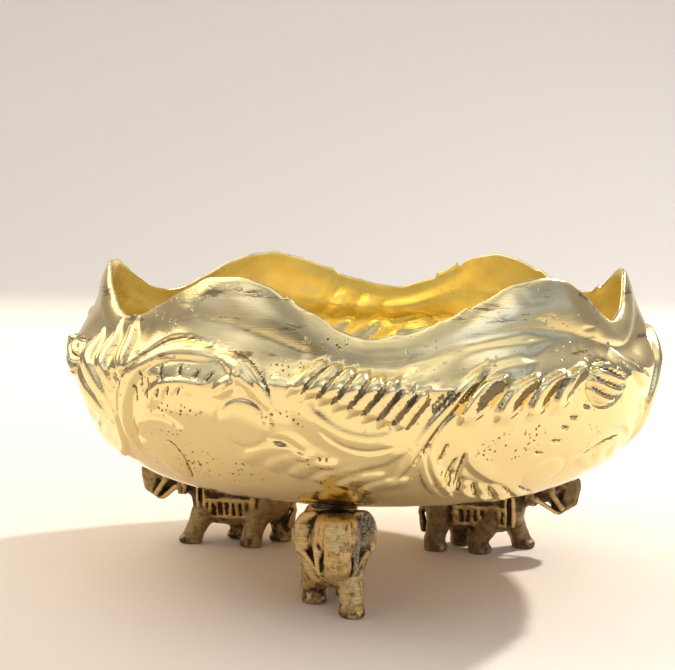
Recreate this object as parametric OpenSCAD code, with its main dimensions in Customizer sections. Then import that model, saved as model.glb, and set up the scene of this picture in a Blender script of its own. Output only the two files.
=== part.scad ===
// Footed urli bowl: a round brass bowl with a six-lobed rim, standing on three
// small cast elephants. Each elephant's saddle is soldered to the flat underside.
// Millimetres, +Z up. The origin is on the floor, on the bowl's axis. -Y is the front.

/* [Bowl] */
// Outer diameter at the shoulder, the widest place
bowl_d = 166; // [150:1:200]
// Outer diameter of the upright neck above the shoulder
neck_d = 152; // [140:1:160]
// Diameter of the flat underside that the feet are soldered to
flat_d = 100; // [90:1:110]
// Height of the flat underside above the floor
base_h = 28; // [28:0.5:34]
// Height of the shoulder above the floor
shoulder_h = 62; // [56:1:66]
// Height of the tallest lobe of the rim above the floor
lobe_h = 87.4; // [80:0.2:96]
// How far the lip leans in at the top of a lobe
lip_in = 3; // [0:0.5:6]
// Wall thickness at the bottom
wall = 2; // [1.5:0.1:3]
// Wall thickness at the rim
rim_wall = 1.4; // [1:0.1:2]

/* [Feet] */
// Distance from the bowl's axis to the middle of each elephant
foot_r = 40; // [38:0.5:41]
// Height of an elephant's saddle top above the floor
saddle_h = 27.2; // [26:0.1:27.6]
// Diameter of an elephant's leg at the sole
sole_d = 5.8; // [5:0.1:6.4]
// Width of an elephant's trunk
trunk_w = 6.6; // [6:0.1:8]

/* [Hidden] */

// Azimuth and height, as a share of the way from the shoulder to the tallest lobe,
// of each dip and lobe of the hand-cut rim, anticlockwise
rim_knots = [
    [-25, 0.50], [-5, 0.98], [24, 0.61], [54, 0.98], [82, 0.51], [117, 0.95], [148, 0.53],
    [181, 0.98], [211, 0.49], [244, 0.99], [272, 0.46], [308, 1.00], [335, 0.50], [355, 0.98]
];
// Share of the neck's height where the shoulder's curve has become upright
neck_share = 0.6;
ring_n = 96;       // points round the bowl
bilge_n = 14;      // steps from the flat underside up to the shoulder
neck_n = 9;        // steps from the shoulder up to the rim

// Where each elephant stands, as set by hand: azimuth of its middle, the way it faces,
// and how much further out than foot_r its middle is
front_place = [259, 274, 0];
left_place = [152, 170, 2.5];
right_place = [26, -8, -1];

hull_fn = 16;      // facets round the rounded parts of an elephant
solder_t = base_h - saddle_h;
brass = "goldenrod";
old_brass = "darkgoldenrod";
solder_grey = "dimgray";

// ---------------------------------------------------------------- bowl

// Height of the rim at azimuth a, from -25 to 335
function rim_share(a) =
    let (
        k = [for (i = [0:len(rim_knots) - 2]) if (a >= rim_knots[i][0] && a < rim_knots[i + 1][0]) i][0],
        low = rim_knots[k],
        high = rim_knots[k + 1],
        t = (a - low[0]) / (high[0] - low[0])
    )
    low[1] + (high[1] - low[1]) * (1 - cos(180 * t)) / 2;

function rim_z(a) = shoulder_h + (lobe_h - shoulder_h) * rim_share(a < 335 ? a : a - 360);

// The wall's inset at share h of the neck's height
function neck_wall(h) = wall + (rim_wall - wall) * h;

// Quarter ellipse from the flat underside to the shoulder, t from 0 to 1, moved in by inset
function bilge_point(t, inset) = [
    flat_d / 2 + (bowl_d / 2 - inset - flat_d / 2) * sin(90 * t),
    base_h + inset + (shoulder_h - base_h - inset) * (1 - cos(90 * t))
];

// Radius of the outside of the neck at share h of its height
function neck_r(h) =
    h < neck_share
        ? neck_d / 2 + (bowl_d - neck_d) / 2 * (1 + cos(180 * h / neck_share)) / 2
        : neck_d / 2 - lip_in * pow((h - neck_share) / (1 - neck_share), 3);

// One upright section of the wall at azimuth a: up the outside, over the rim, down the inside
function section(a) = let (neck_h = rim_z(a) - shoulder_h) concat(
    [for (i = [0:bilge_n]) bilge_point(i / bilge_n, 0)],
    [for (i = [1:neck_n]) [neck_r(i / neck_n), shoulder_h + neck_h * i / neck_n]],
    [for (i = [neck_n:-1:1]) [neck_r(i / neck_n) - neck_wall(i / neck_n), shoulder_h + neck_h * i / neck_n]],
    [for (i = [bilge_n:-1:0]) bilge_point(i / bilge_n, wall)]
);

module bowl() {
    rows = len(section(0));
    ring = [for (i = [0:ring_n - 1]) let (a = 360 * i / ring_n, s = section(a))
        [for (p = s) [p[0] * cos(a), p[0] * sin(a), p[1]]]];
    points = concat([for (column = ring) for (p = column) p]);
    walls = [for (i = [0:ring_n - 1]) for (j = [0:rows - 2])
        let (a = i * rows + j, b = ((i + 1) % ring_n) * rows + j)
        each [[a, a + 1, b + 1], [a, b + 1, b]]];
    underside = [for (i = [0:ring_n - 1]) i * rows];
    inside_floor = [for (i = [ring_n - 1:-1:0]) i * rows + rows - 1];
    color(brass)
        polyhedron(points, concat(walls, [underside, inside_floor]), convexity = 8);
}

// ---------------------------------------------------------------- elephants
// An elephant faces +X, with its left side at +Y and its soles on z = 0.

// A rounded limb through a list of [x, y, z, radius]
module limb(path) {
    for (i = [0:len(path) - 2])
        hull()
            for (p = [path[i], path[i + 1]])
                translate([p[0], p[1], p[2]]) sphere(p[3], $fn = hull_fn);
}

// A leg from the hip or shoulder down to a flat sole at [x, y]
module leg(top, sole) {
    hull() {
        translate([top[0], top[1], 12]) sphere(4.2, $fn = hull_fn);
        translate([sole[0], sole[1], 3.4]) sphere(sole_d * 0.46, $fn = hull_fn);
    }
    hull() {
        translate([sole[0], sole[1], 0]) cylinder(h = 1.4, d = sole_d, $fn = hull_fn);
        translate([sole[0], sole[1], 3.4]) sphere(sole_d * 0.46, $fn = hull_fn);
    }
}

module torso() {
    limb([[-8.6, 0, 17.2, 7.8], [6.6, 0, 17.4, 7.6]]);
    limb([[-8.6, 0, 13.6, 6.6], [7.4, 0, 13.4, 6.4]]);
    limb([[-2, 0, 10.8, 5.2], [7, 0, 11, 5]]);
    leg([8.4, 3.8], [14, 4.6]);
    leg([4.8, -3.8], [1.4, -4.6]);
    leg([-7.4, 3.8], [-5, 4.6]);
    leg([-10.4, -3.8], [-12.6, -4.6]);
}

// The saddle pad, whose flat top takes the solder
module saddle() {
    hull() {
        translate([-8, -5.5, saddle_h - 1]) cube([17, 11, 1]);
        translate([-9, -6.5, 20]) cube([19, 13, 1]);
    }
}

// The blanket over the back: a raised panel on each flank, with a fringe below it
module blanket() {
    for (side = [-1, 1]) {
        hull()
            for (x = [-6.5, 8], z = [11.6, 19])
                translate([x, side * 7.2, z]) sphere(1, $fn = 12);
        for (i = [0:5])
            translate([-5.6 + 2.6 * i, side * 7.3 - 0.9, 9]) cube([1.2, 1.8, 4]);
    }
}

module head() {
    hull() {
        translate([11, 0, 19]) sphere(6.6, $fn = hull_fn);
        translate([20.5, 0, 22.2]) sphere(6, $fn = hull_fn);
        translate([24, 0, 24.4]) sphere(4.2, $fn = hull_fn);
    }
    // forehead and trunk, a flat bar that curls back under the chin
    trunk_line = [[25, 25.2], [27.4, 20.8], [26.8, 16.8], [23.8, 14.2]];
    for (i = [0:len(trunk_line) - 2])
        hull()
            for (p = [trunk_line[i], trunk_line[i + 1]])
                translate([p[0], 0, p[1]]) rotate([90, 0, 0])
                    cylinder(h = trunk_w, r = 2.8 - 0.3 * i, center = true, $fn = hull_fn);
    for (side = [-1, 1]) {
        // tusk
        hull() {
            translate([22, side * 4.4, 18]) sphere(1.6, $fn = 12);
            translate([25.4, side * 4.6, 12.8]) sphere(0.8, $fn = 12);
        }
        ear(side);
    }
}

// An ear stands out from the side of the head as a rounded fan
module ear(side) {
    hull() {
        translate([18, side * 4.6, 24.6]) sphere(1.8, $fn = 12);
        translate([17.4, side * 4.8, 17]) sphere(1.4, $fn = 12);
        translate([15.2, side * 9, 25.2]) sphere(1.4, $fn = 12);
        translate([14.6, side * 9.6, 20]) sphere(1.2, $fn = 12);
        translate([15.4, side * 7.6, 15.6]) sphere(1, $fn = 12);
    }
}

module tail() {
    limb([[-15.6, 0, 20, 1.4], [-16.4, -0.6, 12, 1.1], [-15.8, -0.8, 6, 1.3]]);
}

module elephant() {
    union() {
        torso();
        saddle();
        blanket();
        head();
        tail();
    }
}

// Stands something at its place under the bowl
module at_place(place) {
    r = foot_r + place[2];
    translate([r * cos(place[0]), r * sin(place[0]), 0]) rotate([0, 0, place[1]]) children();
}

module front_elephant_foot() { color(old_brass) at_place(front_place) elephant(); }
module left_elephant_foot() { color(old_brass) at_place(left_place) elephant(); }
module right_elephant_foot() { color(old_brass) at_place(right_place) elephant(); }

// ---------------------------------------------------------------- solder
// The run of solder between a saddle's top and the flat underside of the bowl

module solder_joint() {
    reach = 7;
    round_r = 5.2;
    translate([0.5, 0, saddle_h]) {
        linear_extrude(solder_t) {
            square([2 * reach, 2 * round_r], center = true);
            for (end = [-1, 1])
                translate([end * reach, 0]) circle(round_r, $fn = 48);
        }
    }
}

module front_solder_joint() { color(solder_grey) at_place(front_place) solder_joint(); }
module left_solder_joint() { color(solder_grey) at_place(left_place) solder_joint(); }
module right_solder_joint() { color(solder_grey) at_place(right_place) solder_joint(); }

// ---------------------------------------------------------------- drawing

bowl();
front_elephant_foot();
left_elephant_foot();
right_elephant_foot();
front_solder_joint();
left_solder_joint();
right_solder_joint();
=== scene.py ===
import math

import bpy
import numpy as np
from mathutils import Matrix, Vector


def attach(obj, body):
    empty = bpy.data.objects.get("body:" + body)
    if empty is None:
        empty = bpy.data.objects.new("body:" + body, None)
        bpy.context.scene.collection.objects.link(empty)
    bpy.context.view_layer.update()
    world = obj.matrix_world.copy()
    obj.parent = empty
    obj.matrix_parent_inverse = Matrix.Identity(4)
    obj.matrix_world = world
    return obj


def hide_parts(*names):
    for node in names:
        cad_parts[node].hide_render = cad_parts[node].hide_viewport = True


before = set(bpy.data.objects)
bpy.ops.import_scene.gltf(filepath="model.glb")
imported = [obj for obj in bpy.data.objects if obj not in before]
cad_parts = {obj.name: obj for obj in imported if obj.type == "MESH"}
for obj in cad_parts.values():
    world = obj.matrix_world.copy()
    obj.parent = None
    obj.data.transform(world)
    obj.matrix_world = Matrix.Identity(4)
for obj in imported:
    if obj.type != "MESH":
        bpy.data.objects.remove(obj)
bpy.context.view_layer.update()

MM = 0.001

# ---- sizes, in millimetres
# The bowl's own proportions, which follow the CAD bowl.
FLAT_R = 50.0
BASE_Z = 28.0
SHOULDER_R = 82.0
SHOULDER_Z = 62.0
NECK_R = 75.6
LOBE_Z = 87.2
LIP_IN = 3.0
WALL = 2.0
RIM_WALL = 1.3
NECK_SHARE = 0.6       # share of the neck's height where it has become upright
SETBACK = 0.35         # how far the wall stands back, to leave room for the relief
CREST = 0.25           # height of the rim's rounded edge
RIM_ROUND = 0.15       # how far that edge is rounded in from each side
FLOOR_RINGS = (44, 36, 28, 20, 12, 5)    # radii of the rings of points on the inside floor
UNDER_RINGS = (45, 38, 30, 22, 14, 6)    # and on the underside
# Azimuth of each dip and lobe of the rim, and its share of the height up to the tallest lobe.
RIM_KNOTS = [
    (-25, 0.5), (-5, 0.98), (24, 0.61), (54, 0.98), (82, 0.51), (117, 0.95), (148, 0.53),
    (181, 0.98), (211, 0.49), (244, 0.99), (272, 0.46), (308, 1.00), (335, 0.5),
]
# Where each elephant stands: azimuth, heading, distance from the bowl's axis.
PLACES = {"front": (259, 274, 40.0), "left": (152, 170, 42.5), "right": (26, -8, 39.0)}
# How much painted shade darkens each elephant, from 0 to 1; the side ones stand in shade.
SHADE_DEPTHS = {"front": 0.0, "left": 0.6, "right": 1.0}
# The flat saddle that the solder holds, the top of the head, and the solder's lowest edge.
SADDLE_Z = 27.2
HEAD_Z = 27.9
SOLDER_LOW_Z = 26.9

COLUMNS = 960          # round the outside
INNER_COLUMNS = 480    # round the inside
DISC_COLUMNS = 240     # round the inside floor and the underside
DEG_MM = 1.42          # one degree of azimuth on the bilge
W_MM = 0.535           # one step of the relief's height scale, 0 at the flat base, 100 at the shoulder
NECK_W_MM = 0.4        # one step of that scale on the neck, above 100


# ---- small numeric helpers

def smooth_line(p):
    """A Catmull-Rom curve through points, with 12 steps from each to the next."""
    p = np.vstack([2 * p[0] - p[1], p, 2 * p[-1] - p[-2]])
    t = np.linspace(0, 1, 12, endpoint=False)[:, None]
    out = []
    for a, b, c, d in zip(p[:-3], p[1:-2], p[2:-1], p[3:]):
        out.append(0.5 * (2 * b + (c - a) * t + (2 * a - 5 * b + 4 * c - d) * t ** 2
                          + (3 * b - a - 3 * c + d) * t ** 3))
    return np.vstack(out + [p[-2:-1]])


def smoothstep(x):
    x = np.clip(x, 0, 1)
    return x * x * (3 - 2 * x)


def waves(x, y, count, short, long, seed):
    """Gentle seeded unevenness, about 1 at most, from crossing sine waves."""
    rng = np.random.default_rng(seed)
    total = np.zeros(np.broadcast(x, y).shape)
    for _ in range(count):
        turn, phase = rng.uniform(0, 2 * math.pi, 2)
        k = 2 * math.pi / rng.uniform(short, long)
        total += np.sin(k * (x * math.cos(turn) + y * math.sin(turn)) + phase)
    return total / math.sqrt(count)


def new_object(name, data):
    obj = bpy.data.objects.new(name, data)
    bpy.context.scene.collection.objects.link(obj)
    return obj


def make_mesh(name, verts_mm, faces, marks):
    """A smooth mesh object; marks holds, by name, one number for each point."""
    mesh = bpy.data.meshes.new(name)
    mesh.from_pydata((np.asarray(verts_mm) * MM).tolist(), [], faces)
    for key, values in marks.items():
        layer = mesh.attributes.new(key, "FLOAT", "POINT")
        layer.data.foreach_set("value", np.asarray(values, np.float32))
    mesh.polygons.foreach_set("use_smooth", [True] * len(mesh.polygons))
    mesh.validate()
    mesh.update()
    return new_object(name, mesh)


# ---- the embossed relief
# Every stroke is drawn on the unrolled bowl as (azimuth in degrees, height 0 at the flat
# base and 100 at the shoulder). The running scroll repeats three times round the bowl.

THIRDS = (0, 120, 240)
# How a stroke's height rises from its side, q = 0, to its middle, q = 1.
PROFILES = {
    "round": lambda q: np.sqrt(np.clip(1 - (1 - q) ** 2, 0, 1)),
    "vee": lambda q: q,
    "soft": smoothstep,
}


def taper(s, ends):
    """0 at both ends of a stroke, rising to 1 over a share, ends, of its length."""
    return smoothstep(np.minimum(s, 1 - s) / ends)


class Relief:
    """The embossing on a grid of azimuth and height: h in millimetres, pits and painted shade from 0 to 1.
    """

    def __init__(self, azimuth, w):
        self.a, self.w = azimuth, w
        self.h = np.zeros(azimuth.shape)
        self.stipple = np.zeros(azimuth.shape)
        # Painted shade: dark lines along grooves and dark ground beside ridges, from 0 to 1.
        self.dirt_and_shade = np.zeros(azimuth.shape)

    def near(self, line, reach, turn):
        """Distance, share along and side of a stroke, for the grid points close to it."""
        line = np.array(line, float)
        middle = line[:, 0].mean() + turn
        da = (self.a - middle + 180) % 360 - 180
        span_a = np.ptp(line[:, 0]) / 2 + reach / DEG_MM + 1
        low, high = line[:, 1].min() - reach / W_MM - 1, line[:, 1].max() + reach / W_MM + 1
        pick = (np.abs(da) < span_a) & (self.w > low) & (self.w < high)
        x, y = da[pick] * DEG_MM, self.w[pick] * W_MM
        curve = smooth_line(line) if len(line) > 2 else line
        px, py = (curve[:, 0] + turn - middle) * DEG_MM, curve[:, 1] * W_MM
        length = np.concatenate([[0], np.cumsum(np.hypot(np.diff(px), np.diff(py)))])
        best = np.full(x.shape, 1e9)
        along, side = np.zeros(x.shape), np.zeros(x.shape)
        for i in range(len(px) - 1):
            ux, uy = px[i + 1] - px[i], py[i + 1] - py[i]
            seg = math.hypot(ux, uy) or 1e-9
            t = np.clip(((x - px[i]) * ux + (y - py[i]) * uy) / seg ** 2, 0, 1)
            dx, dy = x - px[i] - t * ux, y - py[i] - t * uy
            d = np.hypot(dx, dy)
            closer = d < best
            best[closer] = d[closer]
            along[closer] = ((length[i] + t * seg) / length[-1])[closer]
            side[closer] = np.sign(ux * dy - uy * dx)[closer]
        return pick, best, along, side

    def stroke(self, points, width, height, form="round", ends=0.2, turns=THIRDS):
        """A ridge, or a groove where height is negative, thinning to its ends."""
        for turn in turns:
            pick, d, s, _ = self.near(points, width, turn)
            thin = taper(s, ends) * 0.75 + 0.25
            q = np.clip(1 - d / (width * thin), 0, 1)
            self.h[pick] += height * thin * PROFILES[form](q)
            # A groove also gets painted shade along its bottom.
            if form == "vee":
                self.dirt_and_shade[pick] = np.maximum(self.dirt_and_shade[pick], thin * smoothstep(1.2 - d / 0.5))

    def cuts(self, lines, width, depth):
        """Short straight cuts, each from one azimuth and height to another."""
        for a0, w0, a1, w1 in lines:
            self.stroke([(a0, w0), (a1, w1)], width, -depth, "vee")

    def band(self, points, width, height):
        """A flat raised strip with crisp sides."""
        for turn in THIRDS:
            pick, d, s, _ = self.near(points, width + 0.6, turn)
            thin = taper(s, 0.12)
            self.h[pick] += height * thin * smoothstep((width * (0.4 + 0.6 * thin) - d) / 0.7 + 0.5)

    def edge(self, points, fall, height, left=True, steep=1.7, turns=THIRDS):
        """The lip of a petal: a step, steep mm wide, that falls away gently on one side."""
        for turn in turns:
            pick, d, s, side = self.near(points, fall, turn)
            far = np.where(side * (1 if left else -1) > 0, d / fall, d / steep)
            self.h[pick] += height * taper(s, 0.2) * smoothstep(1 - far) ** 0.85

    def leaf(self, points, width, height, vein=0.35, turns=THIRDS):
        """A pointed leaf, swelling in the middle of its length, with a fine vein."""
        for turn in turns:
            pick, d, s, _ = self.near(points, width, turn)
            swell = np.sin(math.pi * np.clip(s, 0.001, 0.999)) ** 0.75
            body = np.sqrt(np.clip(1 - (d / (width * swell)) ** 2, 0, 1)) * swell
            line = np.exp(-(d / 0.45) ** 2) * (swell > 0.35)
            self.h[pick] += height * body - vein * line * np.sign(height)

    def boss(self, centre, radii, height, ring):
        """A rounded button with a fine groove, ring deep, round it; radii in millimetres."""
        for turn in THIRDS:
            da = (self.a - centre[0] - turn + 180) % 360 - 180
            d = np.hypot(da * DEG_MM / radii[0], (self.w - centre[1]) * W_MM / radii[1])
            self.h += height * np.sqrt(np.clip(1 - d ** 2.6, 0, 1))
            self.h -= ring * np.exp(-((d - 1.06) * min(radii) / 0.5) ** 2)

    def shade_beside(self, points, width, depth):
        """Painted shade: ground darkened along a line beside a raised stroke, and made a little rougher by
        the material.
        """
        for turn in THIRDS:
            pick, d, s, _ = self.near(points, width, turn)
            dark = depth * smoothstep(2 * (taper(s, 0.3) - d / width))
            self.dirt_and_shade[pick] = np.maximum(self.dirt_and_shade[pick], dark)

    def pitted(self, a, w, wide, high):
        """Ground round one place that was punched with small pits."""
        for turn in THIRDS:
            da = (self.a - a - turn + 180) % 360 - 180
            d = np.hypot(da / wide, (self.w - w) / high)
            self.stipple = np.maximum(self.stipple, smoothstep(1.6 - 1.6 * d))


def draw_up_fan(r):
    """The fan that opens upwards, with its round boss and pointed tongue."""
    r.stroke([(220.6, 54), (221, 70), (221.9, 82), (224.2, 95), (227.6, 106.5), (231.6, 114.5),
              (236.4, 118), (241.2, 117.4), (245.6, 114.4)], 2.5, 1.35, "round", ends=0.15)
    r.stroke([(218.8, 58), (218.9, 72), (220, 84), (222.6, 98), (225.6, 110),
              (229.8, 121), (235, 125), (240, 124), (244, 121)], 0.9, -0.9, "vee")
    r.leaf([(243, 119), (248, 113), (251.5, 103), (254.3, 90)], 3.6, 1.5)
    r.stroke([(244, 121), (249, 117), (252.8, 107), (255, 91)], 0.8, -0.8, "vee")
    r.cuts([(226, 86, 226, 97), (227.8, 94, 228, 104), (229.5, 88, 229.4, 101), (233, 98, 232.4, 109),
            (236.8, 102, 236.8, 110.5), (240, 100.5, 240.8, 108.5), (242.4, 100.5, 243.8, 108)], 0.6, 0.55)
    r.edge([(227.5, 83), (229.5, 91), (233, 97), (238, 99.5), (243.5, 98)], 4.2, 0.6, left=False)
    r.cuts([(231.6, 90, 232.6, 96), (234, 92, 235, 97), (236.4, 93, 237.4, 97)], 0.6, 0.5)
    r.leaf([(243.5, 94), (246.5, 100), (249, 109)], 2.2, 1.1)
    r.edge([(222.5, 72), (226, 77), (230, 79.5), (234, 78), (238.5, 71)], 4.6, 0.6, left=False, steep=2.2)
    r.boss((249.3, 82.5), (6.4, 6.2), 0.45, ring=0.15)
    r.stroke([(252.6, 77), (257, 74.5), (261, 68)], 1.7, -0.6, "soft", ends=0.45)
    r.stroke([(230, 69), (232.6, 66), (233.6, 58), (233, 48), (231, 38)], 0.9, -0.7, "vee")
    r.edge([(222, 66), (226, 62), (229, 52), (229, 40)], 4.5, 0.6, left=False, steep=2.2)
    for ground in [(236, 86, 8, 5), (233, 75, 5, 4), (246, 53, 8, 11), (237, 56, 8, 13),
                   (257, 86, 6, 6), (262, 66, 5, 4), (256, 112, 6, 6), (263, 126, 6, 7)]:
        r.pitted(*ground)


def draw_comb(r):
    """The cupped leaf with its slanting ribs, and the feathered leaf under it."""
    r.stroke([(256, 108), (263, 107), (271, 100), (279, 93)], 9, 0.8, "soft")
    for i in range(8):
        top = (263.6 + 2.45 * i, 118 - 2.2 * i)
        middle = (261.6 + 2.4 * i, 111 - 2.3 * i)
        foot = (257.6 + 2.5 * i, 98 - 2.3 * i)
        r.stroke([top, middle, foot], 1.8, 1.35, "round", ends=0.22)
        # Painted shade beside each rib, below and to its right.
        r.shade_beside([(p[0] + 1.25, p[1] - 2.5) for p in (top, middle, foot)], 1.1, 0.8)
    r.edge([(253, 106), (256.6, 104.5), (259.4, 97), (262, 88), (266, 80.5), (270.5, 77.6),
            (275, 79.5), (278.4, 85)], 6, 0.65, left=False, steep=2.4)
    r.edge([(253, 76), (258, 71.5), (262, 65.6), (266.6, 63.4), (272, 65), (276, 71),
            (278.6, 80)], 4.6, 0.6, steep=2.2)
    r.stroke([(262, 84), (266, 75), (271, 71.5), (276, 75)], 1, -0.5, "soft")
    for i in range(6):
        a, w = 247.6 + 4.4 * i, 60 - 3.6 * i
        arc = [(a, w), (a + 1.8, w + 6), (a + 5, w + 10), (a + 10, w + 12)]
        r.edge(arc, 4.4, 0.65, left=False, steep=2.0)


def draw_stem(r):
    """The long slanting stem between the two fans, and the soft folds above it."""
    r.stroke([(292, 116), (288, 106), (284.8, 96), (281.8, 86), (279.6, 76), (277.6, 64),
              (276, 50)], 1.3, 1)
    # Painted shade beside the stem.
    r.shade_beside([(280.6, 88), (283, 96), (286.6, 101)], 2.2, 0.7)
    r.shade_beside([(287.8, 91), (290.2, 99), (294, 106)], 1.8, 0.8)
    r.stroke([(293.4, 115), (289.4, 105), (286.2, 95), (283.2, 85), (281.1, 75), (279.2, 63)],
             0.9, -1, "vee")
    r.stroke([(274, 104), (281, 111), (288, 119), (297, 124), (306, 126)], 5, 1.2, "soft")
    r.stroke([(287, 103), (293, 111), (301, 115)], 3.6, 0.8, "soft")
    r.leaf([(280.6, 77), (281.8, 62), (284.6, 48), (289.6, 33)], 3, 1.5, vein=0.6)
    r.cuts([(283.4, 64, 284.6, 76), (285, 55, 286.8, 68), (287.4, 48, 288, 72)], 0.8, 0.8)


def draw_down_fan(r):
    """The fan that opens downwards, its boss, and the gouged leaves above it."""
    r.band([(281.6, 80), (282.6, 64), (286.6, 50), (292.6, 40), (300, 33), (308, 31)], 1.2, 0.6)
    gouges = [(286.4, 49, 286.4, 60), (289.4, 42, 288.6, 55), (294.6, 36, 291.6, 50),
              (300.2, 31, 295, 47), (306, 29.6, 298.6, 45.4), (311.6, 30, 302.6, 44)]
    r.cuts(gouges, 1, 1)
    for i, (a0, w0, a1, w1) in enumerate(gouges):
        beside = 1.9 + 0.2 * i
        r.stroke([(a0 - beside, w0 + 1.6), (a1 - beside, w1 + 1.6)], 1.7, 0.7)
    r.edge([(288, 78), (289.4, 65), (293.4, 56), (298, 50), (302, 45)], 4, 0.7, steep=2.0)
    r.boss((307.6, 52.5), (6.6, 5.6), 0.5, ring=0.2)
    r.pitted(295.5, 71, 8, 12)
    r.pitted(301, 77, 4, 9)
    for a, w in ((286, 83), (292.4, 83), (298.2, 84), (303.4, 86)):
        line = [(a, w), (a + 0.6, w + 10), (a + 3.4, w + 19), (a + 9.4, w + 25)]
        r.edge(line, 6.4, 2, left=False, steep=1.0)
        # Painted shade along each gouged leaf.
        r.shade_beside([(a + 2.2, w + 4), (a + 3, w + 10), (a + 5.4, w + 17), (a + 9, w + 22)], 1.7, 0.85)
        r.stroke(line, 0.9, 0.35)
        r.cuts([(a + 2.6 + 0.6 * k, w + 4 + 5 * k, a + 4.2 + 0.6 * k, w + 6.4 + 5 * k)
                for k in range(3)], 0.6, 0.3)
    r.boss((317.2, 100), (7.4, 6), 2.4, ring=0.8)
    for line in [[(311.6, 106), (315, 101), (319, 97.6), (323.6, 96.6)],
                 [(311.2, 100), (315, 95), (319, 92.4), (322, 92)],
                 [(313.4, 110), (317, 105), (320, 102), (324, 100.6)],
                 [(317, 112.6), (318.8, 108), (321.4, 104.6)]]:
        r.stroke(line, 1, -1.5, "vee")
    r.cuts([(308, 85, 310.6, 84), (306.4, 80.6, 309, 79), (305, 73.4, 308, 72.4),
            (302, 68, 304.6, 66), (311, 90, 313.4, 88.4)], 0.8, 0.7)
    r.leaf([(313.4, 60), (318, 66), (322, 70.6), (327, 71), (332.6, 66.6)], 2.1, -1.2, vein=0)
    for a in (315, 320, 326):
        r.edge([(a, 61), (a + 4, 55), (a + 10, 48)], 3.8, 0.6, steep=2.0)


def draw_side_leaves(r):
    """The loose leaves and the sweep between one scroll and the next."""
    ends = (0, 240)
    for width, height, line in [(3, 2, [(216.4, 136), (218.6, 123), (221, 110), (223.6, 96)]),
                                (3, 1.9, [(210.4, 130), (212.4, 116), (215.4, 102), (219.4, 88)]),
                                (3.6, 1.9, [(203.6, 122), (207, 107), (211.6, 93), (217.4, 80)]),
                                (3.2, 1.5, [(199, 102), (203.4, 90), (209, 80), (215.6, 71)])]:
        r.leaf(line, width, height, turns=ends)
    r.stroke([(219, 101), (221, 94), (220.6, 86), (219.4, 78)], 0.9, -0.8, "vee", turns=ends)
    r.stroke([(216.6, 84), (217.6, 72), (215.6, 60), (210, 49)], 1.8, 1, turns=ends)
    r.leaf([(203, 62), (208, 68), (213.6, 66)], 1.8, -0.9, vein=0, turns=ends)
    r.stroke([(324.8, 119), (325.8, 109), (328, 102), (331.6, 97), (337, 95)], 2, 1.3, turns=(0,))
    r.stroke([(331, 110), (333, 102), (337, 97)], 1.2, -0.7, "vee", turns=(0,))
    r.edge([(332, 86), (335, 78), (335.6, 68)], 3.8, 0.6, steep=2.0, turns=(0,))


def embossing(azimuth, w):
    """The whole relief: its height in millimetres, its pitted ground and its painted shade."""
    r = Relief(azimuth, w)
    draw_up_fan(r)
    draw_comb(r)
    draw_stem(r)
    draw_down_fan(r)
    draw_side_leaves(r)
    fade = smoothstep((w - 12) / 20)
    return np.clip(r.h, -1.3, 2.3) * fade, r.stipple * fade, r.dirt_and_shade * fade


# ---- the bowl

# Where the cutter left a small step in the rim: azimuth and height.
RIM_STEPS = ((15, 0.6), (40, -0.3), (65, 0.7), (71, -0.6), (98, 0.4), (255, 0.35), (290, -0.3))


def rim_height(azimuth):
    """Height of the smooth lobed rim, and of its hand-cut edge."""
    a = (azimuth + 25) % 360 - 25
    share = np.zeros(a.shape)
    for (a0, s0), (a1, s1) in zip(RIM_KNOTS[:-1], RIM_KNOTS[1:]):
        inside = (a >= a0) & (a < a1)
        t = (a[inside] - a0) / (a1 - a0)
        share[inside] = s0 + (s1 - s0) * (1 - np.cos(math.pi * t)) / 2
    smooth = SHOULDER_Z + (LOBE_Z - SHOULDER_Z) * share
    cut = smooth
    for where, size in RIM_STEPS:
        cut = cut + size * np.clip(1 - np.abs(a - where) / 3, 0, 1) * np.sign(a - where + 0.01)
    for often, start in ((17, 0), (29, 40), (47, 90)):
        cut = cut + 0.09 * np.sin(np.radians(often * a + start))
    chatter = np.sin(np.radians(151 * a)) * np.sin(np.radians(13 * a))
    return smooth, cut + 0.04 * chatter


def neck_radius(h, azimuth):
    """Radius of the neck; the bend where it turns upright wanders up and down."""
    a = np.radians(azimuth)
    share = NECK_SHARE + 0.1 * np.sin(2 * a + 1) + 0.07 * np.sin(5 * a + 2) + 0.06 * np.cos(6 * a)
    curve = NECK_R + (SHOULDER_R - NECK_R) * (1 + np.cos(math.pi * np.clip(h / share, 0, 1))) / 2
    lean = np.clip((h - 0.5) / 0.5, 0, 1) ** 2.2
    return curve - LIP_IN * lean


def bilge(t, inset):
    """Quarter ellipse from the flat underside to the shoulder."""
    r = FLAT_R + (SHOULDER_R - inset - FLAT_R) * np.sin(math.pi / 2 * t)
    z = BASE_Z + inset + (SHOULDER_Z - BASE_Z - inset) * (1 - np.cos(math.pi / 2 * t))
    return r, z


def wall_grid(columns, bilge_steps, neck_steps, inset):
    """Radius, height, azimuth and relief scale of one side of the wall, row by row."""
    a = np.arange(columns) * 360.0 / columns
    t, h = bilge_steps[:, None], neck_steps[:, None]
    smooth, cut = rim_height(a)
    r0, z0 = bilge(t + 0 * a, inset)
    thin = 0.0 if inset == 0 else WALL + (RIM_WALL - WALL) * h
    z1 = SHOULDER_Z + h * (cut - SHOULDER_Z)
    r1 = neck_radius((z1 - SHOULDER_Z) / (smooth - SHOULDER_Z), a) - thin
    r, z = np.vstack([r0, r1]), np.vstack([z0, z1])
    w = np.vstack([100 * t + 0 * a, 100 + (z1 - SHOULDER_Z) / NECK_W_MM])
    return r, z, np.broadcast_to(a, r.shape), w


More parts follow.
